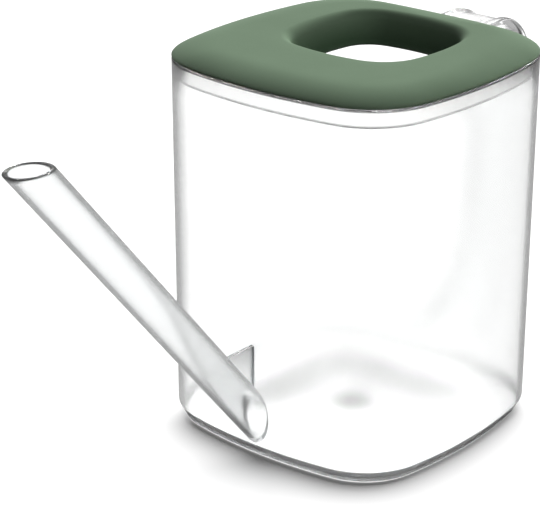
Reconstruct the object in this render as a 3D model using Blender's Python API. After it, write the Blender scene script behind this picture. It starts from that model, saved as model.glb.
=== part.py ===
"""Watering can: a clear rounded-square vessel with a straight spout, a strap handle and a lift-off lid.

Metres, +Z up. The origin is the middle of the flat underside. The spout points to -Y, the handle to +Y,
and the can is symmetric across the plane X = 0.
"""
import math

import bmesh
import bpy
from mathutils import Matrix, Vector

MM = 0.001
GAP = 0.3 * MM                      # clearance kept between pieces that touch

# Vessel: a rounded square whose sides bow outwards, a little narrower at the foot
HALF_WIDTH = 65.0 * MM              # middle of a side to the centre line, at the rim
CORNER_RADIUS = 31.4 * MM
SIDE_RADIUS = 204.0 * MM
VESSEL_HEIGHT = 158.0 * MM
WALL = 2.0 * MM
WALL_AT_FOOT = 2.2 * MM
DRAFT = 0.5 * MM                    # how much narrower each side is at the foot than at the rim
FOOT_HEIGHT = 5.7 * MM              # the slanted band round the foot
FOOT_INSET = 2.7 * MM
FOOT_ROUND = 0.6 * MM
FLOOR = 2.2 * MM
FLOOR_FILLET = 3.2 * MM
RIM_ROUND = 0.4 * MM
GATE_RADIUS = 7.0 * MM              # shallow moulded dimple in the middle of the floor
GATE_DEPTH = 0.7 * MM
GATE_SLOPE = 2.1 * MM               # the dimple's side runs outwards over twice this width
PORT_DEPTH = 15 * MM                # how far inside the wall the spout's bore is cut

# Spout: a straight tube, mitred against the wall and cut level at its mouth
SPOUT_ANGLE = math.radians(49.7)    # above the horizontal
SPOUT_RADIUS = 8.0 * MM
SPOUT_WALL = 1.8 * MM
SPOUT_FOOT_Z = 19.0 * MM            # where its axis meets the wall
SPOUT_MOUTH_Z = 158.3 * MM
GUSSET_TOP_Z = 50.6 * MM
GUSSET_THICKNESS = 1.6 * MM

# Handle: a strap with a raised bead along each edge
HANDLE_TOP_Z = 156.4 * MM
HANDLE_BEND_Y = 84.0 * MM           # the level top run ends here
HANDLE_BEND_RADIUS = 25.0 * MM
HANDLE_LEAN = math.radians(4.0)     # the grip leans in towards its lower end
HANDLE_GRIP_END_Z = 62.0 * MM
HANDLE_FOOT_Z = 6.5 * MM            # where its outer edge meets the wall
HANDLE_FOOT_ANGLE = math.radians(28.0)
HANDLE_HALF_WIDTH = 13.0 * MM
HANDLE_BEAD = 3.6 * MM              # width of an edge bead
HANDLE_DEPTH = 5.5 * MM             # depth of an edge bead
HANDLE_RECESS = 1.1 * MM            # the strap lies this far below the beads' outer face
HANDLE_STRAP = 2.2 * MM             # thickness of the strap
HANDLE_SOFT = 0.7 * MM              # corner break along the beads
HANDLE_PULL = 30 * MM               # how hard the lower sweep follows the grip
HANDLE_PUSH = 22 * MM               # and the foot
HANDLE_TOP_ROOT = 4 * MM            # how far each end runs into the wall before it is trimmed
HANDLE_FOOT_ROOT = 8 * MM

# Lid: a domed cover with a funnel-shaped filling hole, and a collar that plugs into the rim
LID_EDGE_Z = 159.1 * MM
LID_RISE = 4.6 * MM
LID_SLOPE = 18.0 * MM               # the dome is level from this far inside its edge
LID_SEAT_Z = VESSEL_HEIGHT + GAP
LID_ROLL = 0.78                     # below 1, the dome starts upright at its edge
LID_SKIN = 2.5 * MM
FUNNEL_SKIN = 2.0 * MM
CEILING_INSET = 16 * MM             # the level underside of the dome starts this far inside the edge
RIB_FOOT_Z = 157.4 * MM
RIB_WIDTH = 1.6 * MM
HOLE_SHIFT = 12.95 * MM             # the hole's centre lies towards the handle
HOLE_HALF_WIDTH = 30.85 * MM        # of the funnel just under its rounded lip
HOLE_CORNER_RADIUS = 16.6 * MM
HOLE_SIDE_RADIUS = 87.0 * MM
HOLE_LIP = 4.0 * MM
HOLE_TAPER = math.radians(16.0)
HOLE_FOOT_Z = 149.0 * MM
COLLAR_FOOT_Z = 150.5 * MM
COLLAR_CLEARANCE = 0.4 * MM
COLLAR_WALL = 1.6 * MM
COLLAR_SOFT = 0.3 * MM              # corner break at the collar's foot

SIDE_STEPS = 8
CORNER_STEPS = 10
TUBE_SIDES = 40
BORE_OVERRUN = 30 * MM              # how far cutters run past what they cut

CLEAR = (0.90, 0.93, 0.93)
GREEN = (0.115, 0.175, 0.115)
WHITE = (0.86, 0.87, 0.86)


def collection(name):
    group = bpy.data.collections.new(name)
    bpy.context.scene.collection.children.link(group)
    return group


def material(name, colour, roughness, alpha=1.0):
    made = bpy.data.materials.new(name)
    made.use_nodes = True
    shader = made.node_tree.nodes["Principled BSDF"]
    shader.inputs["Base Color"].default_value = (*colour, 1.0)
    shader.inputs["Roughness"].default_value = roughness
    shader.inputs["Metallic"].default_value = 0.0
    shader.inputs["Alpha"].default_value = alpha
    return made


def part(name, mesh, look):
    mesh.materials.clear()
    mesh.materials.append(look)
    mesh.shade_smooth()
    mesh.set_sharp_from_angle(angle=math.radians(35))
    obj = bpy.data.objects.new(name, mesh)
    PARTS.objects.link(obj)
    return obj


def cutter(name, mesh):
    obj = bpy.data.objects.new(name, mesh)
    obj.hide_render = True
    obj.display_type = "WIRE"
    CUTTERS.objects.link(obj)
    return obj


def cut(obj, tool):
    boolean = obj.modifiers.new("cut_" + tool.name, "BOOLEAN")
    boolean.operation = "DIFFERENCE"
    boolean.solver = "EXACT"
    boolean.object = tool


def outline(half, corner, side, shift=0.0):
    """Points round a square of half width `half` with round corners and sides that are shallow arcs."""
    side_centre = half - side
    reach = (side - corner) ** 2
    corner_centre = (side_centre + math.sqrt(2.0 * reach - side_centre ** 2)) / 2.0
    turn = math.atan2(corner_centre, corner_centre - side_centre)
    quarter = []
    for step in range(SIDE_STEPS):
        angle = turn * (2.0 * step / SIDE_STEPS - 1.0)
        quarter.append(Vector((side_centre + side * math.cos(angle), side * math.sin(angle))))
    for step in range(CORNER_STEPS):
        angle = turn + (math.pi / 2 - 2.0 * turn) * step / CORNER_STEPS
        quarter.append(Vector((corner_centre + corner * math.cos(angle),
                               corner_centre + corner * math.sin(angle))))
    points = []
    for side_index in range(4):
        rotation = Matrix.Rotation(side_index * math.pi / 2, 2)
        points += [rotation @ point + Vector((0.0, shift)) for point in quarter]
    return points


def vessel_outline(half):
    """The vessel's outline, offset inwards until its sides are `half` from the centre line."""
    inset = HALF_WIDTH - half
    return outline(half, CORNER_RADIUS - inset, SIDE_RADIUS - inset)


def hole_outline(half):
    inset = HOLE_HALF_WIDTH - half
    return outline(half, HOLE_CORNER_RADIUS - inset, HOLE_SIDE_RADIUS - inset, HOLE_SHIFT)


def level(points, z):
    return [Vector((point.x, point.y, z)) for point in points]


def loft(name, rings, capped):
    """A closed skin over rings of equal count: the ends are capped, or the last ring joins the first."""
    mesh = bmesh.new()
    loops = [[mesh.verts.new(point) for point in ring] for ring in rings]
    pairs = list(zip(loops, loops[1:]))
    if capped:
        mesh.faces.new(loops[0])
        mesh.faces.new(loops[-1])
    else:
        pairs.append((loops[-1], loops[0]))
    for low, high in pairs:
        for index in range(len(low)):
            after = (index + 1) % len(low)
            mesh.faces.new((low[index], low[after], high[after], high[index]))
    bmesh.ops.recalc_face_normals(mesh, faces=mesh.faces)
    data = bpy.data.meshes.new(name)
    mesh.to_mesh(data)
    mesh.free()
    return data


def outer_half(z):
    """Half width of the vessel's outer wall at height z, above the foot band."""
    along = (z - FOOT_HEIGHT) / (VESSEL_HEIGHT - FOOT_HEIGHT)
    return HALF_WIDTH - DRAFT * (1.0 - along)


def inner_half(z):
    along = (z - FOOT_HEIGHT) / (VESSEL_HEIGHT - FOOT_HEIGHT)
    return outer_half(z) - WALL_AT_FOOT - (WALL - WALL_AT_FOOT) * along


def rod(name, radius, start, end):
    """A closed cylinder between two points."""
    mesh = bmesh.new()
    axis = end - start
    place = Matrix.Translation((start + end) / 2) @ axis.to_track_quat("Z", "Y").to_matrix().to_4x4()
    bmesh.ops.create_cone(mesh, cap_ends=True, segments=TUBE_SIDES, radius1=radius, radius2=radius,
                          depth=axis.length, matrix=place)
    data = bpy.data.meshes.new(name)
    mesh.to_mesh(data)
    mesh.free()
    return data


def mesh_from_curve(curve, matrix):
    """The curve's shape as a mesh with its caps welded on, in world space."""
    obj = bpy.data.objects.new(curve.name, curve)
    bpy.context.scene.collection.objects.link(obj)
    obj.matrix_world = matrix
    evaluated = obj.evaluated_get(bpy.context.evaluated_depsgraph_get())
    data = bpy.data.meshes.new_from_object(evaluated)
    data.transform(matrix)
    bpy.data.objects.remove(obj)
    mesh = bmesh.new()
    mesh.from_mesh(data)
    bmesh.ops.remove_doubles(mesh, verts=mesh.verts, dist=0.01 * MM)
    bmesh.ops.recalc_face_normals(mesh, faces=mesh.faces)
    mesh.to_mesh(data)
    mesh.free()
    return data


def flat_curve(name, points, closed):
    curve = bpy.data.curves.new(name, "CURVE")
    curve.dimensions = "2D"
    spline = curve.splines.new("POLY")
    spline.points.add(len(points) - 1)
    for target, (across, along) in zip(spline.points, points):
        target.co = (across, along, 0.0, 1.0)
    spline.use_cyclic_u = closed
    return curve


def spout_point(distance):
    """A point on the spout's axis, `distance` out from the wall."""
    return Vector((0.0, -outer_half(SPOUT_FOOT_Z) - distance * math.cos(SPOUT_ANGLE),
                   SPOUT_FOOT_Z + distance * math.sin(SPOUT_ANGLE)))


def make_vessel():
    foot_half = outer_half(FOOT_HEIGHT)
    outer = [(foot_half - FOOT_INSET - FOOT_ROUND, 0.0),
             (foot_half - FOOT_INSET, FOOT_ROUND),
             (foot_half, FOOT_HEIGHT),
             (HALF_WIDTH, VESSEL_HEIGHT - RIM_ROUND),
             (HALF_WIDTH - RIM_ROUND, VESSEL_HEIGHT)]
    inner = [(HALF_WIDTH - WALL + RIM_ROUND, VESSEL_HEIGHT),
             (HALF_WIDTH - WALL, VESSEL_HEIGHT - RIM_ROUND)]
    fillet_top = FLOOR + FLOOR_FILLET
    fillet_half = inner_half(fillet_top)
    steps = 6
    for step in range(steps + 1):
        angle = math.pi / 2 * step / steps
        inner.append((fillet_half - FLOOR_FILLET * (1.0 - math.cos(angle)),
                      fillet_top - FLOOR_FILLET * math.sin(angle)))
    rings = [level(vessel_outline(half), z) for half, z in outer + inner]
    vessel = part("vessel", loft("vessel", rings, capped=True), material("vessel", CLEAR, 0.06, 0.35))
    port = cutter("port", rod("port", SPOUT_RADIUS - SPOUT_WALL,
                              spout_point(-PORT_DEPTH), spout_point(BORE_OVERRUN)))
    cut(vessel, port)
    dimple = bmesh.new()
    bmesh.ops.create_cone(dimple, cap_ends=True, segments=TUBE_SIDES, radius1=GATE_RADIUS - GATE_SLOPE,
                          radius2=GATE_RADIUS + GATE_SLOPE, depth=2 * GATE_DEPTH,
                          matrix=Matrix.Translation((0.0, 0.0, FLOOR)))
    data = bpy.data.meshes.new("gate_dimple")
    dimple.to_mesh(data)
    dimple.free()
    cut(vessel, cutter("gate_dimple", data))


def make_wall_cutter():
    """The space that the vessel fills and a gap round it, for trimming what meets its wall."""
    rings = [level(vessel_outline(outer_half(z) + GAP), z) for z in (-BORE_OVERRUN, HANDLE_TOP_Z + BORE_OVERRUN)]
    return cutter("vessel_envelope", loft("vessel_envelope", rings, capped=True))


def make_spout(wall_cutter):
    length = (SPOUT_MOUTH_Z - SPOUT_FOOT_Z) / math.sin(SPOUT_ANGLE)
    start = spout_point(-BORE_OVERRUN)
    end = spout_point(length + BORE_OVERRUN)
    tube = part("spout_tube", rod("spout_tube", SPOUT_RADIUS, start, end),
                material("spout_tube", CLEAR, 0.06, 0.35))
    cut(tube, cutter("spout_bore", rod("spout_bore", SPOUT_RADIUS - SPOUT_WALL,
                                       spout_point(-2 * BORE_OVERRUN), spout_point(length + 2 * BORE_OVERRUN))))
    cut(tube, wall_cutter)
    mouth = bmesh.new()
    block = 4 * BORE_OVERRUN
    place = Matrix.Translation((0.0, spout_point(length).y, SPOUT_MOUTH_Z + block / 2))
    bmesh.ops.create_cube(mouth, size=block, matrix=place)
    data = bpy.data.meshes.new("mouth_cut")
    mouth.to_mesh(data)
    mouth.free()
    cut(tube, cutter("mouth_cut", data))


def make_gusset():
    """A flat fin that fills the corner between the wall and the top of the spout."""
    slope = math.tan(SPOUT_ANGLE)
    rise = (SPOUT_RADIUS + GAP) / math.cos(SPOUT_ANGLE)
    wall_top = outer_half(GUSSET_TOP_Z) + GAP
    root_z = SPOUT_FOOT_Z + rise
    wall_root = outer_half(root_z) + GAP
    root_z += (wall_root - outer_half(SPOUT_FOOT_Z)) * slope
    tip = outer_half(SPOUT_FOOT_Z) + (GUSSET_TOP_Z - SPOUT_FOOT_Z - rise) / slope
    curve = flat_curve("spout_gusset", [(-wall_top, GUSSET_TOP_Z), (-tip, GUSSET_TOP_Z), (-wall_root, root_z)],
                       closed=True)
    curve.fill_mode = "BOTH"
    curve.extrude = GUSSET_THICKNESS / 2
    part("spout_gusset", mesh_from_curve(curve, SIDE_PLANE), material("spout_gusset", CLEAR, 0.06, 0.35))


def handle_path():
    """Side view (y, z) of the handle's outer face, from inside the wall at the top round to its foot."""
    points = [(HALF_WIDTH - HANDLE_TOP_ROOT, HANDLE_TOP_Z)]
    bend_steps = 14
    for step in range(bend_steps + 1):
        angle = math.pi / 2 - (math.pi / 2 + HANDLE_LEAN) * step / bend_steps
        points.append((HANDLE_BEND_Y + HANDLE_BEND_RADIUS * math.cos(angle),
                       HANDLE_TOP_Z - HANDLE_BEND_RADIUS * (1.0 - math.sin(angle))))
    bend_end = Vector(points[-1])
    down = Vector((-math.sin(HANDLE_LEAN), -math.cos(HANDLE_LEAN)))
    grip_end = bend_end + down * ((bend_end.y - HANDLE_GRIP_END_Z) / -down.y)
    foot = Vector((outer_half(HANDLE_FOOT_Z), HANDLE_FOOT_Z))
    outwards = Vector((math.cos(HANDLE_FOOT_ANGLE), math.sin(HANDLE_FOOT_ANGLE)))
    pull = grip_end + down * HANDLE_PULL
    push = foot + outwards * HANDLE_PUSH
    sweep_steps = 14
    for step in range(sweep_steps + 1):
        t = step / sweep_steps
        weights = ((1 - t) ** 3, 3 * t * (1 - t) ** 2, 3 * t ** 2 * (1 - t), t ** 3)
        point = sum((corner * weight for corner, weight in zip((grip_end, pull, push, foot), weights)),
                    Vector((0.0, 0.0)))
        points.append(tuple(point))
    points.append(tuple(foot - outwards * HANDLE_FOOT_ROOT))
    return points


def make_handle(wall_cutter):
    outer = HANDLE_HALF_WIDTH
    inner = HANDLE_HALF_WIDTH - HANDLE_BEAD
    soft = HANDLE_SOFT
    right = [(inner - soft, HANDLE_RECESS), (inner + soft, 0.0), (outer - soft, 0.0), (outer, soft),
             (outer, HANDLE_DEPTH - soft), (outer - soft, HANDLE_DEPTH), (inner + soft, HANDLE_DEPTH),
             (inner, HANDLE_DEPTH - soft), (inner - soft, HANDLE_RECESS + HANDLE_STRAP)]
    section = right + [(-across, depth) for across, depth in reversed(right)]
    profile_curve = flat_curve("handle_section", [(depth, across) for across, depth in section], closed=True)
    profile = bpy.data.objects.new("handle_section", profile_curve)
    bpy.context.scene.collection.objects.link(profile)
    path = flat_curve("handle", handle_path(), closed=False)
    path.bevel_mode = "OBJECT"
    path.bevel_object = profile
    path.use_fill_caps = True
    data = mesh_from_curve(path, SIDE_PLANE)
    bpy.data.objects.remove(profile)
    handle = part("handle", data, material("handle", CLEAR, 0.06, 0.35))
    cut(handle, wall_cutter)


def dome_height(inset):
    """Height of the cover's top above its edge, at a distance inside the edge."""
    left = 1.0 - min(inset, LID_SLOPE) / LID_SLOPE
    return LID_RISE * (1.0 - left ** 2) ** LID_ROLL


def make_lid_cover():
    edge = vessel_outline(HALF_WIDTH)
    top_z = LID_EDGE_Z + LID_RISE
    lip_z = top_z - HOLE_LIP
    lip_half = HOLE_HALF_WIDTH + HOLE_LIP * math.cos(HOLE_TAPER)
    lip_edge = hole_outline(lip_half)
    rings = []
    steps = 10
    for step in range(steps + 1):
        blend = (step / steps) ** 2         # closer together at the edge, where the dome is steepest
        ring = []
        for outer, inner in zip(edge, lip_edge):
            spot = outer.lerp(inner, blend)
            ring.append(Vector((spot.x, spot.y, LID_EDGE_Z + dome_height((spot - outer).length))))
        rings.append(ring)
    lip_steps = 5
    for step in range(1, lip_steps + 1):
        angle = (math.pi / 2 - HOLE_TAPER) * step / lip_steps
        rings.append(level(hole_outline(lip_half - HOLE_LIP * math.sin(angle)),
                           lip_z + HOLE_LIP * math.cos(angle)))
    funnel_top_z = lip_z + HOLE_LIP * math.sin(HOLE_TAPER)
    foot_half = HOLE_HALF_WIDTH - (funnel_top_z - HOLE_FOOT_Z) * math.tan(HOLE_TAPER)
    under_z = top_z - LID_SKIN
    under_half = foot_half + FUNNEL_SKIN + (under_z - HOLE_FOOT_Z) * math.tan(HOLE_TAPER)
    rings.append(level(hole_outline(foot_half), HOLE_FOOT_Z))
    rings.append(level(hole_outline(foot_half + FUNNEL_SKIN), HOLE_FOOT_Z))
    rings.append(level(hole_outline(under_half), under_z))
    rib_outer = HALF_WIDTH - WALL - COLLAR_CLEARANCE - COLLAR_WALL - GAP
    rib_inner = rib_outer - RIB_WIDTH
    for half, z in ((HALF_WIDTH - CEILING_INSET, under_z),
                    (rib_inner, LID_SEAT_Z + RIM_ROUND),
                    (rib_inner, RIB_FOOT_Z),
                    (rib_outer, RIB_FOOT_Z),
                    (rib_outer, LID_SEAT_Z),
                    (HALF_WIDTH - 2 * RIM_ROUND, LID_SEAT_Z),
                    (HALF_WIDTH - 2 * RIM_ROUND, LID_SEAT_Z + GAP),
                    (HALF_WIDTH - GAP, LID_SEAT_Z + GAP)):
        rings.append(level(vessel_outline(half), z))
    part("lid_cover", loft("lid_cover", rings, capped=False), material("lid_cover", GREEN, 0.5))


def make_lid_collar():
    outer = HALF_WIDTH - WALL - COLLAR_CLEARANCE
    inner = outer - COLLAR_WALL
    section = ((outer, VESSEL_HEIGHT), (inner, VESSEL_HEIGHT), (inner, COLLAR_FOOT_Z),
               (outer - COLLAR_SOFT, COLLAR_FOOT_Z), (outer, COLLAR_FOOT_Z + COLLAR_SOFT))
    rings = [level(vessel_outline(half), z) for half, z in section]
    part("lid_collar", loft("lid_collar", rings, capped=False), material("lid_collar", WHITE, 0.3))


for leftover in list(bpy.data.objects):
    bpy.data.objects.remove(leftover)

# A flat drawing (across, up) stands in the plane X = 0: across becomes Y and up becomes Z.
SIDE_PLANE = Matrix(((0.0, 0.0, 1.0, 0.0), (1.0, 0.0, 0.0, 0.0), (0.0, 1.0, 0.0, 0.0), (0.0, 0.0, 0.0, 1.0)))
PARTS = collection("watering_can")
CUTTERS = collection("cutters")

make_vessel()
WALL_CUTTER = make_wall_cutter()
make_spout(WALL_CUTTER)
make_gusset()
make_handle(WALL_CUTTER)
make_lid_cover()
make_lid_collar()
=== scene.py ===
import math

import bmesh
import bpy
from mathutils import Matrix, Vector


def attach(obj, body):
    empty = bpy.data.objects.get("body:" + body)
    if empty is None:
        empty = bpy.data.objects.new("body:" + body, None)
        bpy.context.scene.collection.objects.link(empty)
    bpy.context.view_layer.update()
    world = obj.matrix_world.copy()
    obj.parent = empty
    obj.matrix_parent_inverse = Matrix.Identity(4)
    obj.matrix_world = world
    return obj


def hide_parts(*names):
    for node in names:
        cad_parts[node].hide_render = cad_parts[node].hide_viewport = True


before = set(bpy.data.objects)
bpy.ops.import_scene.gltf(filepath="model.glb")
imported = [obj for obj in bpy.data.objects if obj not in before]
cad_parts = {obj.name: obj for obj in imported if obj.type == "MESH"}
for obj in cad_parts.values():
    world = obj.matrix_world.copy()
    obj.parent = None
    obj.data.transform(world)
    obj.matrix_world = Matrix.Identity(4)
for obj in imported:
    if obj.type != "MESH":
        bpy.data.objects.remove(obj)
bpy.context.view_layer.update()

MM = 0.001

# The vessel: a rounded square with bowed sides, in its CAD node's sizes but for a finer floor fillet and rim
HALF_WIDTH = 65.0 * MM
CORNER_RADIUS = 31.4 * MM
SIDE_RADIUS = 204.0 * MM
VESSEL_HEIGHT = 158.0 * MM
WALL = 2.0 * MM
WALL_AT_FOOT = 2.2 * MM
DRAFT = 0.5 * MM
FOOT_HEIGHT = 5.7 * MM
FOOT_INSET = 2.7 * MM
FOOT_TOE = 1.0 * MM                 # rounding between the underside and the slanted foot band
FOOT_SHOULDER = 0.5 * MM            # reach of the rounding between the band and the wall, each way
SHOULDER_IN = 0.06 * MM             # the middle of that rounding, in from the wall
SHOULDER_UP = 0.02 * MM             # and up from the corner
FLOOR = 2.2 * MM
FLOOR_FILLET = 2.0 * MM
RIM_ROUND = 0.6 * MM
GATE_RADIUS = 7.0 * MM              # the moulding gate's dimple in the middle of the floor
GATE_DEPTH = 0.7 * MM
GATE_FLAT = 0.62                    # share of the dimple's radius that is nearly at full depth
GATE_RINGS_REACH = 1.9              # how far out the fine rings go, in dimple radii
WALL_STEPS = 12
GATE_STEPS = 15

SPOUT_ANGLE = math.radians(49.7)
SPOUT_RADIUS = 8.0 * MM
SPOUT_WALL = 1.8 * MM
SPOUT_FOOT_Z = 19.0 * MM
SPOUT_MOUTH_Z = 158.3 * MM
SPOUT_FOOT_EDGE = 0.6 * MM          # length of the first ring of faces at the wall
SPOUT_MOUTH_EDGE = 2.5 * MM         # height of the last ring of faces under the rim
SPOUT_STEPS = 20
PORT_DEPTH = 15.0 * MM
PORT_OVERRUN = 30.0 * MM
PORT_REACH = 25.0 * MM              # the port's own wall lies within this distance of its centre
# Cosines that tell the vessel's faces apart by their slope
FLAT_FACE = 0.9
DOWNWARD_FACE = -0.05
PORT_FACE = 0.2
GUSSET_TOP_Z = 50.6 * MM
GUSSET_THICKNESS = 1.6 * MM
GUSSET_ROOT = 1.5 * MM              # the strip of the fin that is darkened by its joint with the wall
GUSSET_SOFT = 0.12 * MM

HANDLE_TOP_Z = 156.4 * MM
HANDLE_BEND_Y = 84.0 * MM
HANDLE_BEND_RADIUS = 25.0 * MM
HANDLE_LEAN = math.radians(4.0)
HANDLE_GRIP_END_Z = 62.0 * MM
HANDLE_PULL = 30.0 * MM             # how far the lower sweep holds the grip's direction
HANDLE_PUSH = 22.0 * MM             # how far it holds the foot's direction
HANDLE_FOOT_Z = 6.5 * MM
HANDLE_FOOT_ANGLE = math.radians(28.0)
HANDLE_OVERRUN = 3.0 * MM
HANDLE_HALF_WIDTH = 13.0 * MM
HANDLE_BEAD = 3.6 * MM
HANDLE_DEPTH = 5.5 * MM
HANDLE_RECESS = 1.1 * MM
HANDLE_STRAP = 2.2 * MM
HANDLE_SOFT = 1.1 * MM
STRAP_COLUMNS = (2.0 * MM, 5.0 * MM)
BEAD_FRONT_START = 0.6              # where the strap starts to rise to the bead's front, in HANDLE_SOFT
BEAD_FRONT_WIDTH = 1.3
BEAD_BACK_WIDTH = 0.5
TOP_STEPS = 5
BEND_STEPS = 26
GRIP_STEPS = 8
SWEEP_STEPS = 26

GAP = 0.3 * MM
LID_SEAT_Z = VESSEL_HEIGHT + GAP
LID_EDGE_Z = 159.1 * MM
LID_RISE = 4.1 * MM
LID_SLOPE = 18.0 * MM
LID_ROLL = 0.78                     # below 1, the dome starts upright at its edge
LID_SKIN = 2.5 * MM
# Rings of the dome, as shares of the way from the lid's edge to the hole, closest where the dome is steep
DOME_BLENDS = (0.0, 0.002, 0.006, 0.012, 0.02, 0.032, 0.055, 0.085, 0.12, 0.16, 0.2,
               0.25, 0.3, 0.36, 0.43, 0.5, 0.58, 0.67, 0.76, 0.88, 1.0)
# The rounding under the lid's edge, as (in from the edge, up from the seat)
LID_EDGE_ROUND = ((1.2 * MM, 0.0), (0.7 * MM, 0.05 * MM), (0.3 * MM, 0.2 * MM), (0.08 * MM, 0.42 * MM))
HOLE_SHIFT = 12.95 * MM
HOLE_HALF_WIDTH = 30.5 * MM
HOLE_CORNER_RADIUS = 16.6 * MM
HOLE_SIDE_RADIUS = 87.0 * MM
HOLE_LIP = 5.0 * MM
HOLE_TAPER = math.radians(16.0)
HOLE_FOOT_Z = 149.0 * MM
FUNNEL_SKIN = 2.0 * MM
LIP_STEPS = 12
FUNNEL_STEPS = 7
CEILING_INSET = 16.0 * MM
RIB_FOOT_Z = 157.4 * MM
RIB_WIDTH = 1.6 * MM
RIB_ROOT = 0.4 * MM
COLLAR_FOOT_Z = 150.5 * MM
COLLAR_CLEARANCE = 0.4 * MM
COLLAR_WALL = 1.6 * MM
COLLAR_SOFT = 0.15 * MM

SEAM = 0.06 * MM                    # air left between two clear pieces that are joined
SIDE_STEPS = 22
CORNER_STEPS = 18
TUBE_SIDES = 72

# The clear plastic's look
PLASTIC_IOR = 1.49
RIPPLE = 0.004 * MM
FLOW_LIFT = 1.012                   # how much paler the flow marks are than the rest
DEPTH_COLOUR = (0.02, 0.07, 0.09)
PALE = (0.985, 0.99, 0.988)
HAZE = (0.95, 0.955, 0.955)

# Ranges of tint and shade, as (value at the start, value at the end, start, end). Those named ACROSS go by
# Y - X, which runs from the corner at +X and -Y to the corner opposite. The rest go by height, but for those of
# the floor's scar and ring, which go by distance from its middle. The foot band, rim, scar and ring tints are
# painted shade.
LAMP_BY_HEIGHT = (0.0, 1.0, 5.0 * MM, 34.0 * MM)
LAMP_ACROSS = (0.0, 1.0, -20.0 * MM, 12.0 * MM)
# The foot band's darkening is painted shade, lighter towards the back
BAND_PAINTED_SHADE = (0.2, 0.026, 1.4 * MM, 2.6 * MM)
BAND_SHADE_LEAST_ACROSS = (0.0, 0.45, -5.0 * MM, 35.0 * MM)
COLLAR_TINT = (0.35, 1.0, COLLAR_FOOT_Z + 0.6 * MM, COLLAR_FOOT_Z + 0.75 * MM)
# The rim's darkening under the lid's edge is painted shadow
RIM_PAINTED_SHADOW = (1.0, 0.08, VESSEL_HEIGHT - 0.75 * MM, VESSEL_HEIGHT - 0.55 * MM)
MOUTH_TINT = (1.0, 0.5, SPOUT_MOUTH_Z - 0.9 * MM, SPOUT_MOUTH_Z - 0.6 * MM)
# The gate spot's darkening and the ring behind it are painted shade
SCAR_PAINTED_SHADE = (0.04, 1.0, 3.0 * MM, 21.0 * MM)
RING_INNER_FADE = (0.0, 1.0, 8.0 * MM, 30.0 * MM)
RING_OUTER_FADE = (1.0, 0.0, 39.0 * MM, 47.0 * MM)
RING_ACROSS = (0.0, 1.0, -20.0 * MM, 12.0 * MM)
RING_PAINTED_SHADE = (0.6, 0.29, 0.0, 1.0)
# Painted shade: the lid's colour darkens low in the funnel
FUNNEL_PAINTED_SHADE_BY_HEIGHT = (0.0, 1.0, 152.0 * MM, 160.0 * MM)

SATIN_SPECULAR = 0.3
SATIN_GRAIN = 0.03 * MM

# Brightness of the table and of the room: seen directly, after a reflection, and after a matt bounce
TABLE_DIRECT, TABLE_REFLECTED, TABLE_SCATTERED = 0.9, 0.32, 0.06
ROOM_DIRECT, ROOM_REFLECTED, ROOM_SCATTERED = 1.6, 0.34, 0.05
TABLE_HALF_SIZE = 12.0
TABLE_DROP = 0.2 * MM
# Lamps, as (name, direction towards the lamp, spread in degrees, power)
TABLE_LAMP = ("table_light", (-0.20, 0.50, 0.84), 80, 5.5)
LID_LAMPS = (("lid_light", (-0.42, 0.80, 0.39), 42, 9.2),
             ("lid_fill", (0.90, 0.10, 0.40), 60, 1.1))

CAMERA_AZIMUTH = math.radians(40.38)
CAMERA_ELEVATION = math.radians(22.47)
CAMERA_DISTANCE = 0.8792
CAMERA_LENS = 139.7
CAMERA_SENSOR = 36.0
AIM_Z = 80.0 * MM
AIM_LEFT = 35.0 * MM
AIM_DOWN = 11.7 * MM


# ---------------------------------------------------------------- outlines and lofts

def outline(half, corner, side, shift=0.0):
    """Points round a square of half width `half` with round corners and sides that are shallow arcs."""
    side_centre = half - side
    reach = (side - corner) ** 2
    corner_centre = (side_centre + math.sqrt(2.0 * reach - side_centre ** 2)) / 2.0
    turn = math.atan2(corner_centre, corner_centre - side_centre)
    quarter = []
    for step in range(SIDE_STEPS):
        angle = turn * (2.0 * step / SIDE_STEPS - 1.0)
        quarter.append(Vector((side_centre + side * math.cos(angle), side * math.sin(angle))))
    for step in range(CORNER_STEPS):
        angle = turn + (math.pi / 2 - 2.0 * turn) * step / CORNER_STEPS
        quarter.append(Vector((corner_centre + corner * math.cos(angle),
                               corner_centre + corner * math.sin(angle))))
    points = []
    for side_index in range(4):
        rotation = Matrix.Rotation(side_index * math.pi / 2, 2)
        points += [rotation @ point + Vector((0.0, shift)) for point in quarter]
    return points


def vessel_outline(half):
    inset = HALF_WIDTH - half
    return outline(half, CORNER_RADIUS - inset, SIDE_RADIUS - inset)


def hole_outline(half):
    inset = HOLE_HALF_WIDTH - half
    return outline(half, HOLE_CORNER_RADIUS - inset, HOLE_SIDE_RADIUS - inset, HOLE_SHIFT)


def level(points, z):
    return [Vector((point.x, point.y, z)) for point in points]


def between(first, last, steps):
    """The rings that lie between two rings, in equal steps."""
    return [[a.lerp(b, step / steps) for a, b in zip(first, last)] for step in range(1, steps)]


def loft(name, rings, ends):
    """A closed skin over rings of equal count.

    ends is "caps" for flat ends, "points" for a fan to each end's middle, or "joined" for a closed loop.
    """
    mesh = bmesh.new()
    loops = [[mesh.verts.new(point) for point in ring] for ring in rings]
    pairs = list(zip(loops, loops[1:]))
    if ends == "joined":
        pairs.append((loops[-1], loops[0]))
    elif ends == "caps":
        mesh.faces.new(loops[0])
        mesh.faces.new(loops[-1])
    else:
        for loop in (loops[0], loops[-1]):
            middle = mesh.verts.new(sum((vert.co for vert in loop), Vector()) / len(loop))
            for index in range(len(loop)):
                mesh.faces.new((loop[index], loop[(index + 1) % len(loop)], middle))
    for low, high in pairs:
        for index in range(len(low)):
            after = (index + 1) % len(low)
            mesh.faces.new((low[index], low[after], high[after], high[index]))
    bmesh.ops.recalc_face_normals(mesh, faces=mesh.faces)
    return finished(mesh, name)


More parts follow.
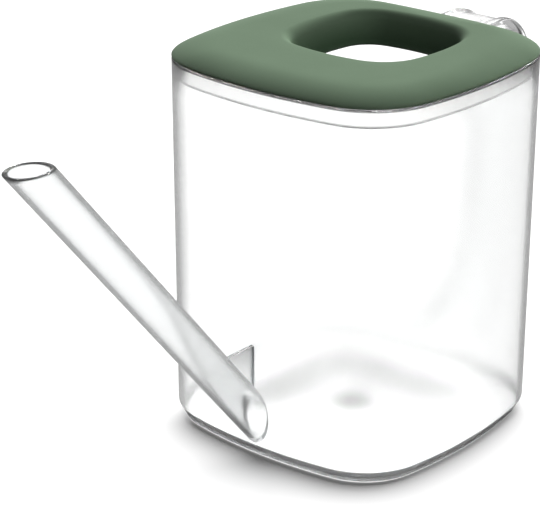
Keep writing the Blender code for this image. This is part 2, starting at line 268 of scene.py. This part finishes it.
def finished(mesh, name):
    data = bpy.data.meshes.new(name)
    mesh.to_mesh(data)
    mesh.free()
    return data


def quarter_arc(steps):
    """(cosine, sine) pairs from 0 to 90 degrees, ends included."""
    angles = [math.pi / 2 * step / steps for step in range(steps + 1)]
    return [(math.cos(angle), math.sin(angle)) for angle in angles]


def outer_half(z):
    along = (z - FOOT_HEIGHT) / (VESSEL_HEIGHT - FOOT_HEIGHT)
    return HALF_WIDTH - DRAFT * (1.0 - along)


def inner_half(z):
    along = (z - FOOT_HEIGHT) / (VESSEL_HEIGHT - FOOT_HEIGHT)
    return outer_half(z) - WALL_AT_FOOT - (WALL - WALL_AT_FOOT) * along


def wall_y(x, z):
    """How far the outer wall of the front or back side stands from the centre line at (x, z)."""
    half = outer_half(z)
    side = SIDE_RADIUS - (HALF_WIDTH - half)
    return half - side + math.sqrt(side ** 2 - x ** 2)


def to_wall(point, direction, side, gap):
    """Slides point along direction until it is `gap` outside the wall at -Y (side -1) or +Y (side 1)."""
    low, high = -60.0 * MM, 60.0 * MM
    away = 1.0 if direction.y * side > 0 else -1.0
    for _ in range(48):
        middle = (low + high) / 2
        spot = point + direction * (middle * away)
        if spot.y * side > wall_y(spot.x, spot.z) + gap:
            high = middle
        else:
            low = middle
    return point + direction * ((low + high) / 2 * away)


def add(name, mesh, looks, body, node, sharp=35):
    for look in looks:
        mesh.materials.append(look)
    mesh.shade_smooth()
    mesh.set_sharp_from_angle(angle=math.radians(sharp))
    obj = bpy.data.objects.new(name, mesh)
    bpy.context.scene.collection.objects.link(obj)
    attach(obj, body)
    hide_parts(node)
    return obj


# ---------------------------------------------------------------- materials

def shader_tree(name):
    made = bpy.data.materials.new(name)
    made.use_nodes = True
    tree = made.node_tree
    return made, tree, tree.nodes["Principled BSDF"], tree.nodes["Material Output"]


def noise(tree, scale, detail, roughness, stretch=(1.0, 1.0, 1.0)):
    place = tree.nodes.new("ShaderNodeTexCoord")
    mapping = tree.nodes.new("ShaderNodeMapping")
    mapping.inputs["Scale"].default_value = stretch
    made = tree.nodes.new("ShaderNodeTexNoise")
    made.inputs["Scale"].default_value = scale
    made.inputs["Detail"].default_value = detail
    made.inputs["Roughness"].default_value = roughness
    tree.links.new(place.outputs["Object"], mapping.inputs["Vector"])
    tree.links.new(mapping.outputs["Vector"], made.inputs["Vector"])
    return made.outputs["Fac"]


def object_axes(tree):
    """A node whose X, Y and Z outputs are the point's place in the can's frame."""
    place = tree.nodes.new("ShaderNodeTexCoord")
    axes = tree.nodes.new("ShaderNodeSeparateXYZ")
    tree.links.new(place.outputs["Object"], axes.inputs["Vector"])
    return axes


def ranged(tree, value, low, high, start=0.3, end=0.7):
    """low to high as value goes from start to end; the defaults suit a noise."""
    made = tree.nodes.new("ShaderNodeMapRange")
    made.inputs["From Min"].default_value = start
    made.inputs["From Max"].default_value = end
    made.inputs["To Min"].default_value = low
    made.inputs["To Max"].default_value = high
    tree.links.new(value, made.inputs["Value"])
    return made.outputs["Result"]


def mixed(tree, factor, first, second, blend="MIX"):
    """Two colours mixed. Each is an (r, g, b) or a socket, and the factor is a number or a socket."""
    made = tree.nodes.new("ShaderNodeMix")
    made.data_type = "RGBA"
    made.blend_type = blend
    for socket, value in (("Factor", factor), ("A", first), ("B", second)):
        if isinstance(value, float):
            made.inputs[socket].default_value = value
        elif isinstance(value, tuple):
            made.inputs[socket].default_value = (*value, 1.0)
        else:
            tree.links.new(value, made.inputs[socket])
    return made.outputs["Result"]


def math_node(tree, operation, first, second, clamp=False):
    made = tree.nodes.new("ShaderNodeMath")
    made.operation = operation
    made.use_clamp = clamp
    for socket, value in zip(made.inputs, (first, second)):
        if isinstance(value, float):
            socket.default_value = value
        else:
            tree.links.new(value, socket)
    return made.outputs[0]


def across(tree, axes, values):
    """One of the ranges that go by Y - X."""
    return ranged(tree, math_node(tree, "SUBTRACT", axes.outputs["Y"], axes.outputs["X"]), *values)


def bump(tree, height, distance, strength):
    made = tree.nodes.new("ShaderNodeBump")
    made.inputs["Distance"].default_value = distance
    made.inputs["Strength"].default_value = strength
    tree.links.new(height, made.inputs["Height"])
    return made.outputs["Normal"]


def clear_plastic(name, smooth, rough, tint, shade, marks_and_shade=None, density=0.0):
    """Clear moulded plastic.

    shade is the share of a lamp's light that passes each face, near the foot and elsewhere.
    A marks function (tree, axes) may give a value that tints the surface from place to place, painted shade
    among it, 1 where it is left clear.
    density darkens long ways through the plastic; only a piece with a single material may have one.
    """
    made, tree, shader, output = shader_tree(name)
    shader.inputs["Transmission Weight"].default_value = 1.0
    shader.inputs["IOR"].default_value = PLASTIC_IOR
    axes = object_axes(tree)
    flow = noise(tree, scale=26.0, detail=3.0, roughness=0.5, stretch=(1.0, 1.0, 0.35))
    colour = mixed(tree, flow, tint, tuple(min(1.0, channel * FLOW_LIFT) for channel in tint))
    if marks_and_shade is not None:
        # The marks multiply the colour; some of them are painted shade
        colour = mixed(tree, 1.0, colour, marks_and_shade(tree, axes), "MULTIPLY")
    tree.links.new(colour, shader.inputs["Base Color"])
    tree.links.new(ranged(tree, flow, smooth, rough), shader.inputs["Roughness"])
    ripple = noise(tree, scale=60.0, detail=2.0, roughness=0.45, stretch=(1.0, 1.0, 0.5))
    tree.links.new(bump(tree, ripple, RIPPLE, 0.35), shader.inputs["Normal"])
    path = tree.nodes.new("ShaderNodeLightPath")
    through = tree.nodes.new("ShaderNodeBsdfTransparent")
    rise = math_node(tree, "MAXIMUM", ranged(tree, axes.outputs["Z"], *LAMP_BY_HEIGHT),
                     across(tree, axes, LAMP_ACROSS))
    tree.links.new(mixed(tree, rise, (shade[0],) * 3, (shade[1],) * 3), through.inputs["Color"])
    choice = tree.nodes.new("ShaderNodeMixShader")
    tree.links.new(path.outputs["Is Shadow Ray"], choice.inputs[0])
    tree.links.new(shader.outputs["BSDF"], choice.inputs[1])
    tree.links.new(through.outputs["BSDF"], choice.inputs[2])
    tree.links.new(choice.outputs["Shader"], output.inputs["Surface"])
    if density:
        depth = tree.nodes.new("ShaderNodeVolumeAbsorption")
        depth.inputs["Color"].default_value = (*DEPTH_COLOUR, 1.0)
        depth.inputs["Density"].default_value = density
        tree.links.new(depth.outputs["Volume"], output.inputs["Volume"])
    return made


def band_painted_shade(tree, axes):
    """The slanted foot band's painted shade: darkest at the wall, lighter towards its toe and towards the back.
    """
    return math_node(tree, "MAXIMUM", ranged(tree, axes.outputs["Z"], *BAND_PAINTED_SHADE),
                     across(tree, axes, BAND_SHADE_LEAST_ACROSS))


def collar_marks(tree, axes):
    """The collar's lower edge, seen as a thin line round the wall."""
    return ranged(tree, axes.outputs["Z"], *COLLAR_TINT)


def undercut_painted_shadow(tree, axes):
    """The vessel's rounded rim, with painted shadow in the undercut below the lid's edge."""
    return ranged(tree, axes.outputs["Z"], *RIM_PAINTED_SHADOW)


def mouth_marks(tree, axes):
    """The spout's cut rim, where the tube is seen end on."""
    return ranged(tree, axes.outputs["Z"], *MOUTH_TINT)


def floor_painted_shade(tree, axes):
    """Painted shade on the floor: a dark spot at the gate scar in the middle, and a soft painted shade behind
    it, short of the far walls.
    """
    x_square = math_node(tree, "MULTIPLY", axes.outputs["X"], axes.outputs["X"])
    y_square = math_node(tree, "MULTIPLY", axes.outputs["Y"], axes.outputs["Y"])
    radius = math_node(tree, "SQRT", math_node(tree, "ADD", x_square, y_square), 0.0)
    scar_shade = ranged(tree, radius, *SCAR_PAINTED_SHADE)
    fourth = math_node(tree, "ADD", math_node(tree, "MULTIPLY", x_square, x_square),
                       math_node(tree, "MULTIPLY", y_square, y_square))
    square = math_node(tree, "POWER", fourth, 0.25)
    ring = math_node(tree, "MINIMUM", ranged(tree, square, *RING_INNER_FADE),
                     ranged(tree, square, *RING_OUTER_FADE))
    shade = math_node(tree, "MULTIPLY", ring, across(tree, axes, RING_ACROSS))
    return math_node(tree, "MINIMUM", scar_shade, ranged(tree, shade, *RING_PAINTED_SHADE))


def satin_plastic(name, dark, light, funnel_shade, smooth, rough):
    """Satin moulded plastic with a faint cloud from dark to light; the third colour is a painted shade, used
    low in the funnel.
    """
    made, tree, shader, _ = shader_tree(name)
    shader.inputs["Specular IOR Level"].default_value = SATIN_SPECULAR
    cloud = noise(tree, scale=35.0, detail=5.0, roughness=0.55)
    speck = noise(tree, scale=2600.0, detail=2.0, roughness=0.6)
    height = object_axes(tree).outputs["Z"]
    outside = mixed(tree, ranged(tree, cloud, 0.0, 1.0), dark, light)
    # Painted shade, darker low in the funnel
    colour = mixed(tree, ranged(tree, height, *FUNNEL_PAINTED_SHADE_BY_HEIGHT), funnel_shade, outside)
    tree.links.new(colour, shader.inputs["Base Color"])
    tree.links.new(ranged(tree, speck, smooth, rough), shader.inputs["Roughness"])
    tree.links.new(bump(tree, speck, SATIN_GRAIN, 0.5), shader.inputs["Normal"])
    return made


# ---------------------------------------------------------------- pieces

def vessel_outside():
    """(half width, z) up the outside of the vessel, from the underside to the rim."""
    foot_half = outer_half(FOOT_HEIGHT)
    points = []
    for cosine, sine in quarter_arc(5):
        points.append((foot_half - FOOT_INSET - FOOT_TOE + FOOT_TOE * sine, FOOT_TOE * (1.0 - cosine)))
    slant = Vector((FOOT_INSET, FOOT_HEIGHT - FOOT_TOE)).normalized()
    points.append(tuple(Vector((foot_half, FOOT_HEIGHT)) - slant * FOOT_SHOULDER))
    points.append((foot_half - SHOULDER_IN, FOOT_HEIGHT + SHOULDER_UP))
    points += [(outer_half(z), z) for z in wall_heights()]
    for cosine, sine in quarter_arc(4)[1:]:
        points.append((HALF_WIDTH - RIM_ROUND * (1.0 - cosine), VESSEL_HEIGHT - RIM_ROUND * (1.0 - sine)))
    return points


def wall_heights():
    low, high = FOOT_HEIGHT + FOOT_SHOULDER, VESSEL_HEIGHT - RIM_ROUND
    return [low + (high - low) * step / WALL_STEPS for step in range(WALL_STEPS + 1)]


def vessel_inside():
    """(half width, z) down the inside of the vessel, from the rim to the flat floor."""
    points = []
    for cosine, sine in quarter_arc(4):
        points.append((HALF_WIDTH - WALL + RIM_ROUND * (1.0 - sine),
                       VESSEL_HEIGHT - RIM_ROUND * (1.0 - cosine)))
    fillet_top = FLOOR + FLOOR_FILLET
    points += [(inner_half(z), z) for z in reversed(wall_heights()[1:-1])]
    fillet_half = inner_half(fillet_top)
    for cosine, sine in quarter_arc(12):
        points.append((fillet_half - FLOOR_FILLET * (1.0 - cosine), fillet_top - FLOOR_FILLET * sine))
    return points


def floor_rings(edge):
    """Rings over the flat floor, from square at its edge to round at the gate's dimple."""
    reach = GATE_RADIUS * GATE_RINGS_REACH
    rings = []
    for blend in (0.3, 0.6, 0.85):
        rings.append(level([point.lerp(point.normalized() * reach, blend) for point in edge], FLOOR))
    for step in range(GATE_STEPS):
        radius = reach * (1.0 - step / GATE_STEPS)
        dip = math.exp(-(radius / (GATE_RADIUS * GATE_FLAT)) ** 4)
        rings.append(level([point.normalized() * radius for point in edge], FLOOR - GATE_DEPTH * dip))
    return rings


def make_vessel(looks):
    """The clear box. looks are those of its walls, flat floor, foot band and port."""
    inside = vessel_inside()
    rings = [level(vessel_outline(half), z) for half, z in vessel_outside() + inside]
    rings += floor_rings(vessel_outline(inside[-1][0]))
    mesh = loft("vessel_shell", rings, "points")
    vessel = add("vessel_shell", mesh, looks, "can", "vessel")
    cut_port(vessel)
    vessel.data.set_sharp_from_angle(angle=math.radians(35))
    axis_foot = spout_point(0.0)
    axis = (spout_point(MM) - axis_foot).normalized()
    for face in vessel.data.polygons:
        offset = face.center - axis_foot
        off_axis = (offset - axis * offset.dot(axis)).length
        flat = abs(face.normal.z) > FLAT_FACE
        beside_port = abs(face.normal.dot(axis)) < PORT_FACE and offset.length < PORT_REACH
        if flat and face.center.z < FLOOR + FLOOR_FILLET * 0.3:
            face.material_index = 1
        elif face.center.z < FOOT_HEIGHT and face.normal.z < DOWNWARD_FACE:
            face.material_index = 2
        elif beside_port and off_axis < SPOUT_RADIUS:
            face.material_index = 3
    return vessel


def cut_port(vessel):
    port = cylinder("port", SPOUT_RADIUS - SPOUT_WALL, spout_point(-PORT_DEPTH), spout_point(PORT_OVERRUN))
    boolean = vessel.modifiers.new("port", "BOOLEAN")
    boolean.operation = "DIFFERENCE"
    boolean.solver = "EXACT"
    boolean.object = port
    evaluated = vessel.evaluated_get(bpy.context.evaluated_depsgraph_get())
    data = bpy.data.meshes.new_from_object(evaluated)
    vessel.modifiers.clear()
    vessel.data = data
    bpy.data.objects.remove(port)


def cylinder(name, radius, start, end):
    mesh = bmesh.new()
    axis = end - start
    place = Matrix.Translation((start + end) / 2) @ axis.to_track_quat("Z", "Y").to_matrix().to_4x4()
    bmesh.ops.create_cone(mesh, cap_ends=True, segments=TUBE_SIDES, radius1=radius, radius2=radius,
                          depth=axis.length, matrix=place)
    obj = bpy.data.objects.new(name, finished(mesh, name))
    bpy.context.scene.collection.objects.link(obj)
    return obj


def spout_point(distance):
    """The point on the spout's axis that is `distance` outside the front wall."""
    return Vector((0.0, -outer_half(SPOUT_FOOT_Z) - distance * math.cos(SPOUT_ANGLE),
                   SPOUT_FOOT_Z + distance * math.sin(SPOUT_ANGLE)))


def make_spout(looks):
    """The tube, mitred against the front wall and cut level at its mouth."""
    axis = Vector((0.0, -math.cos(SPOUT_ANGLE), math.sin(SPOUT_ANGLE)))
    up = Vector((0.0, math.sin(SPOUT_ANGLE), math.cos(SPOUT_ANGLE)))
    right = Vector((1.0, 0.0, 0.0))
    foot = spout_point(0.0)

    def generator(radius, index):
        angle = 2.0 * math.pi * index / TUBE_SIDES
        return foot + (right * math.cos(angle) + up * math.sin(angle)) * radius

    def at_wall(radius, gap):
        return [to_wall(generator(radius, index), axis, -1.0, gap) for index in range(TUBE_SIDES)]

    def at_height(radius, z):
        ring = []
        for index in range(TUBE_SIDES):
            point = generator(radius, index)
            ring.append(point + axis * ((z - point.z) / axis.z))
        return ring

    outer, inner = SPOUT_RADIUS, SPOUT_RADIUS - SPOUT_WALL
    lip = SPOUT_WALL / 2
    high_z = SPOUT_MOUTH_Z - SPOUT_MOUTH_EDGE
    low_out, high_out = at_wall(outer, SPOUT_FOOT_EDGE), at_height(outer, high_z)
    low_in, high_in = at_wall(inner, SPOUT_FOOT_EDGE), at_height(inner, high_z)
    rings = [at_wall(inner, SEAM), at_wall(outer, SEAM), low_out]
    rings += between(low_out, high_out, SPOUT_STEPS)
    rings.append(high_out)
    for step in range(9):
        angle = math.pi * step / 8
        rings.append(at_height(outer - lip + lip * math.cos(angle),
                               SPOUT_MOUTH_Z - lip * (1.0 - math.sin(angle))))
    rings.append(high_in)
    rings += between(high_in, low_in, SPOUT_STEPS)
    rings.append(low_in)
    return add("spout", loft("spout", rings, "joined"), looks, "can", "spout_tube", 50)


def make_gusset(looks):
    """The fin between the wall and the top of the spout. looks are those of its faces and its dark edges."""
    slope = math.tan(SPOUT_ANGLE)
    rise = (SPOUT_RADIUS + SEAM) / math.cos(SPOUT_ANGLE)
    foot_y = outer_half(SPOUT_FOOT_Z)
    wall_top = wall_y(0.0, GUSSET_TOP_Z) + SEAM
    root_y = foot_y + SEAM
    root_z = SPOUT_FOOT_Z + rise + (root_y - foot_y) * slope
    tip_y = foot_y + (GUSSET_TOP_Z - SPOUT_FOOT_Z - rise) / slope
    corners = [(-wall_top, GUSSET_TOP_Z), (-wall_top - GUSSET_ROOT, GUSSET_TOP_Z), (-tip_y, GUSSET_TOP_Z),
               (-root_y - GUSSET_ROOT, root_z + GUSSET_ROOT * slope), (-root_y, root_z)]
    mesh = bmesh.new()
    loops = []
    for side in (-1.0, 1.0):
        loops.append([mesh.verts.new((side * GUSSET_THICKNESS / 2, y, z)) for y, z in corners])
    for loop in loops:
        mesh.faces.new((loop[0], loop[1], loop[3], loop[4])).material_index = 1
        mesh.faces.new(loop[1:4])
    for index in range(len(corners)):
        after = (index + 1) % len(corners)
        side = mesh.faces.new((loops[0][index], loops[0][after], loops[1][after], loops[1][index]))
        side.material_index = 1 if index < 2 else 0
    bmesh.ops.recalc_face_normals(mesh, faces=mesh.faces)
    outline_edges = [edge for edge in mesh.edges if edge.calc_face_angle(0.0) > 0.1]
    bmesh.ops.bevel(mesh, geom=outline_edges, offset=GUSSET_SOFT, segments=2, profile=0.5, affect="EDGES")
    return add("gusset", finished(mesh, "gusset"), looks, "can", "spout_gusset", 50)


def handle_path():
    """(y, z) of the handle's outer face, from the wall at the top round to its foot."""
    top_run = HANDLE_BEND_Y - HALF_WIDTH
    points = [Vector((HALF_WIDTH + top_run * step / TOP_STEPS, HANDLE_TOP_Z)) for step in range(TOP_STEPS)]
    for step in range(BEND_STEPS + 1):
        angle = math.pi / 2 - (math.pi / 2 + HANDLE_LEAN) * step / BEND_STEPS
        points.append(Vector((HANDLE_BEND_Y + HANDLE_BEND_RADIUS * math.cos(angle),
                              HANDLE_TOP_Z - HANDLE_BEND_RADIUS * (1.0 - math.sin(angle)))))
    bend_end = points[-1]
    down = Vector((-math.sin(HANDLE_LEAN), -math.cos(HANDLE_LEAN)))
    grip_end = bend_end + down * ((bend_end.y - HANDLE_GRIP_END_Z) / -down.y)
    for step in range(1, GRIP_STEPS):
        points.append(bend_end.lerp(grip_end, step / GRIP_STEPS))
    foot = Vector((outer_half(HANDLE_FOOT_Z), HANDLE_FOOT_Z))
    outwards = Vector((math.cos(HANDLE_FOOT_ANGLE), math.sin(HANDLE_FOOT_ANGLE)))
    corners = (grip_end, grip_end + down * HANDLE_PULL, foot + outwards * HANDLE_PUSH, foot)
    for step in range(SWEEP_STEPS + 1):
        t = step / SWEEP_STEPS
        weights = ((1 - t) ** 3, 3 * t * (1 - t) ** 2, 3 * t ** 2 * (1 - t), t ** 3)
        points.append(sum((corner * weight for corner, weight in zip(corners, weights)), Vector((0.0, 0.0))))
    return points


def handle_section():
    """(sideways, depth) round the channel: a bead along each edge and a thinner strap between them."""
    outer, inner, soft = HANDLE_HALF_WIDTH, HANDLE_HALF_WIDTH - HANDLE_BEAD, HANDLE_SOFT
    strap_back = HANDLE_RECESS + HANDLE_STRAP
    bead_back = HANDLE_DEPTH - soft
    right = [(sideways, HANDLE_RECESS) for sideways in STRAP_COLUMNS]
    for step in range(5):
        ease = step / 4
        smooth = ease * ease * (3 - 2 * ease)
        right.append((inner - soft * BEAD_FRONT_START + ease * soft * BEAD_FRONT_WIDTH,
                      HANDLE_RECESS * (1.0 - smooth)))
    for cosine, sine in quarter_arc(5):
        right.append((outer - soft + soft * sine, soft * (1.0 - cosine)))
    for cosine, sine in quarter_arc(5):
        right.append((outer - soft + soft * cosine, bead_back + soft * sine))
    for cosine, sine in quarter_arc(5):
        right.append((inner + soft - soft * sine, bead_back + soft * cosine))
    for step in range(1, 5):
        ease = step / 4
        right.append((inner - soft * BEAD_BACK_WIDTH * ease, bead_back - (bead_back - strap_back) * ease))
    right += [(sideways, strap_back) for sideways in reversed(STRAP_COLUMNS)]
    return right + [(-sideways, depth) for sideways, depth in reversed(right)]


def make_handle(looks):
    """The strap, swept along its path and trimmed against the back wall at both ends."""
    path = handle_path()
    section = handle_section()
    rings = []
    for index, spot in enumerate(path):
        before, after = path[max(index - 1, 0)], path[min(index + 1, len(path) - 1)]
        along = (after - before).normalized()
        inwards = Vector((along.y, -along.x))
        ring = []
        for sideways, depth in section:
            place = spot + inwards * depth
            ring.append(Vector((sideways, place.x, place.y)))
        rings.append(ring)
    level_out = Vector((0.0, 1.0, 0.0))
    foot_out = Vector((0.0, math.cos(HANDLE_FOOT_ANGLE), math.sin(HANDLE_FOOT_ANGLE)))
    rings[0] = [to_wall(point, level_out, 1.0, SEAM) for point in rings[0]]
    rings[-1] = [to_wall(point + foot_out * HANDLE_OVERRUN, foot_out, 1.0, SEAM) for point in rings[-1]]
    mesh = loft("handle_strap", rings, "caps")
    return add("handle_strap", mesh, looks, "can", "handle", 50)


def dome_height(inset):
    """How far the lid's top stands above its edge, at a point that is `inset` in from the edge."""
    left = 1.0 - min(inset, LID_SLOPE) / LID_SLOPE
    return LID_RISE * (1.0 - left ** 2) ** LID_ROLL


def make_cover(looks):
    """The green cover: dome, rolled lip, funnel, ceiling, rib and rounded edge, in one closed loop."""
    edge = vessel_outline(HALF_WIDTH)
    top_z = LID_EDGE_Z + LID_RISE
    lip_z = top_z - HOLE_LIP
    lip_half = HOLE_HALF_WIDTH + HOLE_LIP * math.cos(HOLE_TAPER)
    lip_edge = hole_outline(lip_half)
    rings = []
    for blend in DOME_BLENDS:
        ring = []
        for outer, inner in zip(edge, lip_edge):
            spot = outer.lerp(inner, blend)
            ring.append(Vector((spot.x, spot.y, LID_EDGE_Z + dome_height((spot - outer).length))))
        rings.append(ring)
    for step in range(1, LIP_STEPS + 1):
        angle = (math.pi / 2 - HOLE_TAPER) * step / LIP_STEPS
        rings.append(level(hole_outline(lip_half - HOLE_LIP * math.sin(angle)),
                           lip_z + HOLE_LIP * math.cos(angle)))
    funnel_top_z = lip_z + HOLE_LIP * math.sin(HOLE_TAPER)
    foot_half = HOLE_HALF_WIDTH - (funnel_top_z - HOLE_FOOT_Z) * math.tan(HOLE_TAPER)
    for step in range(1, FUNNEL_STEPS):
        drop = step / FUNNEL_STEPS
        rings.append(level(hole_outline(HOLE_HALF_WIDTH + (foot_half - HOLE_HALF_WIDTH) * drop),
                           funnel_top_z + (HOLE_FOOT_Z - funnel_top_z) * drop))
    for step in range(7):
        angle = math.pi * step / 6
        rings.append(level(hole_outline(foot_half + FUNNEL_SKIN / 2 * (1.0 - math.cos(angle))),
                           HOLE_FOOT_Z + FUNNEL_SKIN / 2 * (1.0 - math.sin(angle))))
    under_z = top_z - LID_SKIN
    under_half = foot_half + FUNNEL_SKIN + (under_z - HOLE_FOOT_Z) * math.tan(HOLE_TAPER)
    rings.append(level(hole_outline(under_half), under_z))
    rib_outer = HALF_WIDTH - WALL - COLLAR_CLEARANCE - COLLAR_WALL - GAP
    rib_inner = rib_outer - RIB_WIDTH
    underside = [(HALF_WIDTH - CEILING_INSET, under_z), (rib_inner, LID_SEAT_Z + RIB_ROOT),
                 (rib_inner, RIB_FOOT_Z), (rib_outer, RIB_FOOT_Z), (rib_outer, LID_SEAT_Z)]
    underside += [(HALF_WIDTH - inset, LID_SEAT_Z + up) for inset, up in LID_EDGE_ROUND]
    rings += [level(vessel_outline(half), z) for half, z in underside]
    return add("lid_top", loft("lid_top", rings, "joined"), looks, "lid", "lid_cover", 40)


def make_collar(looks):
    """The ring that plugs into the vessel's rim."""
    outer = HALF_WIDTH - WALL - COLLAR_CLEARANCE
    inner = outer - COLLAR_WALL
    section = ((outer, VESSEL_HEIGHT), (inner, VESSEL_HEIGHT),
               (inner, COLLAR_FOOT_Z + COLLAR_SOFT), (inner + COLLAR_SOFT, COLLAR_FOOT_Z),
               (outer - COLLAR_SOFT, COLLAR_FOOT_Z), (outer, COLLAR_FOOT_Z + COLLAR_SOFT))
    rings = [level(vessel_outline(half), z) for half, z in section]
    mesh = loft("lid_plug", rings, "joined")
    return add("lid_plug", mesh, looks, "lid", "lid_collar", 40)


# ---------------------------------------------------------------- stage

def make_floor():
    """A pale matt table, brighter to a straight look than to what it lights."""
    mesh = bmesh.new()
    bmesh.ops.create_grid(mesh, x_segments=1, y_segments=1, size=TABLE_HALF_SIZE)
    data = finished(mesh, "floor")
    made, tree, shader, output = shader_tree("floor")
    tree.nodes.remove(shader)
    paper = tree.nodes.new("ShaderNodeBsdfDiffuse")
    path = tree.nodes.new("ShaderNodeLightPath")
    tint = tree.nodes.new("ShaderNodeMix")
    tree.links.new(bounces(tree), tint.inputs["Factor"])
    tint.inputs["A"].default_value = TABLE_DIRECT
    dim = ranged(tree, path.outputs["Diffuse Depth"], TABLE_REFLECTED, TABLE_SCATTERED, 0.0, 1.0)
    tree.links.new(dim, tint.inputs["B"])
    tree.links.new(tint.outputs["Result"], paper.inputs["Color"])
    tree.links.new(paper.outputs["BSDF"], output.inputs["Surface"])
    data.materials.append(made)
    floor = bpy.data.objects.new("floor", data)
    bpy.context.scene.collection.objects.link(floor)
    floor.location.z = -TABLE_DROP


def bounces(tree):
    """1 once a ray has been reflected or scattered, so that the room round the bright table stays dim."""
    path = tree.nodes.new("ShaderNodeLightPath")
    return math_node(tree, "ADD", path.outputs["Glossy Depth"], path.outputs["Diffuse Depth"], clamp=True)


def softbox(name, towards, spread, power):
    lamp = bpy.data.lights.new(name, "SUN")
    lamp.energy = power
    lamp.angle = math.radians(spread)
    # Its light passes clear plastic as shadow rays only
    lamp.cycles.use_multiple_importance_sampling = False
    obj = bpy.data.objects.new(name, lamp)
    bpy.context.scene.collection.objects.link(obj)
    obj.rotation_euler = Vector(towards).to_track_quat("Z", "Y").to_euler()
    return obj


def lid_group(name, pieces, state):
    """A collection that tells a lamp to include or exclude the lid's pieces."""
    group = bpy.data.collections.new(name)
    for piece in pieces:
        group.objects.link(piece)
    for entry in group.collection_objects:
        entry.light_linking.link_state = state
    return group


def make_room():
    """An even white room, dim to reflected and scattered light."""
    world = bpy.data.worlds.new("studio")
    bpy.context.scene.world = world
    world.use_nodes = True
    world.cycles.sampling_method = "NONE"
    tree = world.node_tree
    back = tree.nodes["Background"]
    back.inputs["Color"].default_value = (1.0, 1.0, 1.0, 1.0)
    path = tree.nodes.new("ShaderNodeLightPath")
    seen = math_node(tree, "ADD", path.outputs["Is Camera Ray"], path.outputs["Is Transmission Ray"])
    direct = math_node(tree, "SUBTRACT", seen, bounces(tree), clamp=True)
    strength = tree.nodes.new("ShaderNodeMix")
    tree.links.new(direct, strength.inputs["Factor"])
    dim = ranged(tree, path.outputs["Diffuse Depth"], ROOM_REFLECTED, ROOM_SCATTERED, 0.0, 1.0)
    tree.links.new(dim, strength.inputs["A"])
    strength.inputs["B"].default_value = ROOM_DIRECT
    tree.links.new(strength.outputs["Result"], back.inputs["Strength"])


def make_lamps(lid_pieces):
    """One lamp for the table and the clear pieces, and two for the lid alone."""
    table = softbox(*TABLE_LAMP)
    table.light_linking.blocker_collection = lid_group("table_blockers", lid_pieces, "EXCLUDE")
    table.light_linking.receiver_collection = lid_group("table_receivers", lid_pieces, "EXCLUDE")
    for settings in LID_LAMPS:
        lamp = softbox(*settings)
        lamp.visible_glossy = False
        lamp.light_linking.receiver_collection = lid_group(lamp.name + "_receivers", lid_pieces, "INCLUDE")


def make_camera():
    flat = math.cos(CAMERA_ELEVATION)
    back = Vector((math.sin(CAMERA_AZIMUTH) * flat, -math.cos(CAMERA_AZIMUTH) * flat,
                   math.sin(CAMERA_ELEVATION)))
    right = Vector((math.cos(CAMERA_AZIMUTH), math.sin(CAMERA_AZIMUTH), 0.0))
    up = back.cross(right)
    target = Vector((0.0, 0.0, AIM_Z)) - right * AIM_LEFT - up * AIM_DOWN
    lens = bpy.data.cameras.new("camera")
    lens.lens = CAMERA_LENS
    lens.sensor_width = CAMERA_SENSOR
    lens.clip_start = 10.0 * MM
    camera = bpy.data.objects.new("camera", lens)
    camera.location = target + back * CAMERA_DISTANCE
    camera.rotation_euler = back.to_track_quat("Z", "Y").to_euler()
    bpy.context.scene.collection.objects.link(camera)
    bpy.context.scene.camera = camera


# The walls carry a painted shadow at the rim's undercut
CLEAR = clear_plastic("clear_wall", smooth=0.14, rough=0.19, tint=PALE, shade=(0.22, 0.985),
                      marks_and_shade=undercut_painted_shadow)
# The floor carries painted shade at the gate and behind it
BASE = clear_plastic("clear_base", smooth=0.14, rough=0.2, tint=PALE, shade=(0.985, 0.985), marks_and_shade=floor_painted_shade)
# The foot band carries painted shade
FOOT = clear_plastic("clear_foot", smooth=0.14, rough=0.19, tint=(0.96, 0.985, 1.0), shade=(0.2, 0.97),
                     marks_and_shade=band_painted_shade)
PORT = clear_plastic("clear_port", smooth=0.3, rough=0.38, tint=(0.38, 0.4, 0.41), shade=(0.6, 0.97))
TUBE = clear_plastic("clear_tube", smooth=0.12, rough=0.17, tint=(0.975, 0.98, 0.98), shade=(0.6, 0.97),
                     marks_and_shade=mouth_marks, density=26.0)
FIN = clear_plastic("clear_fin", smooth=0.34, rough=0.4, tint=HAZE, shade=(0.6, 0.97))
EDGE = clear_plastic("clear_edge", smooth=0.2, rough=0.26, tint=(0.14, 0.15, 0.155), shade=(0.6, 0.97))
STRAP = clear_plastic("clear_strap", smooth=0.1, rough=0.15, tint=HAZE, shade=(0.6, 0.97))
FROST = clear_plastic("collar_frost", smooth=0.12, rough=0.16, tint=(0.95, 0.95, 0.945), shade=(0.9, 0.97),
                      marks_and_shade=collar_marks)
# The lid's darkest colour is painted shade inside the funnel
GREEN = satin_plastic("lid_green", dark=(0.122, 0.180, 0.117), light=(0.134, 0.196, 0.129),
                      funnel_shade=(0.055, 0.1, 0.055), smooth=0.4, rough=0.48)

make_vessel([CLEAR, BASE, FOOT, PORT])
make_spout([TUBE])
make_gusset([FIN, EDGE])
make_handle([STRAP])
COVER = make_cover([GREEN])
make_collar([FROST])
make_floor()
make_room()
make_lamps([COVER])
make_camera()
bpy.context.scene.view_settings.view_transform = "Standard"
bpy.context.scene.cycles.caustics_refractive = False
bpy.context.scene.cycles.caustics_reflective = False
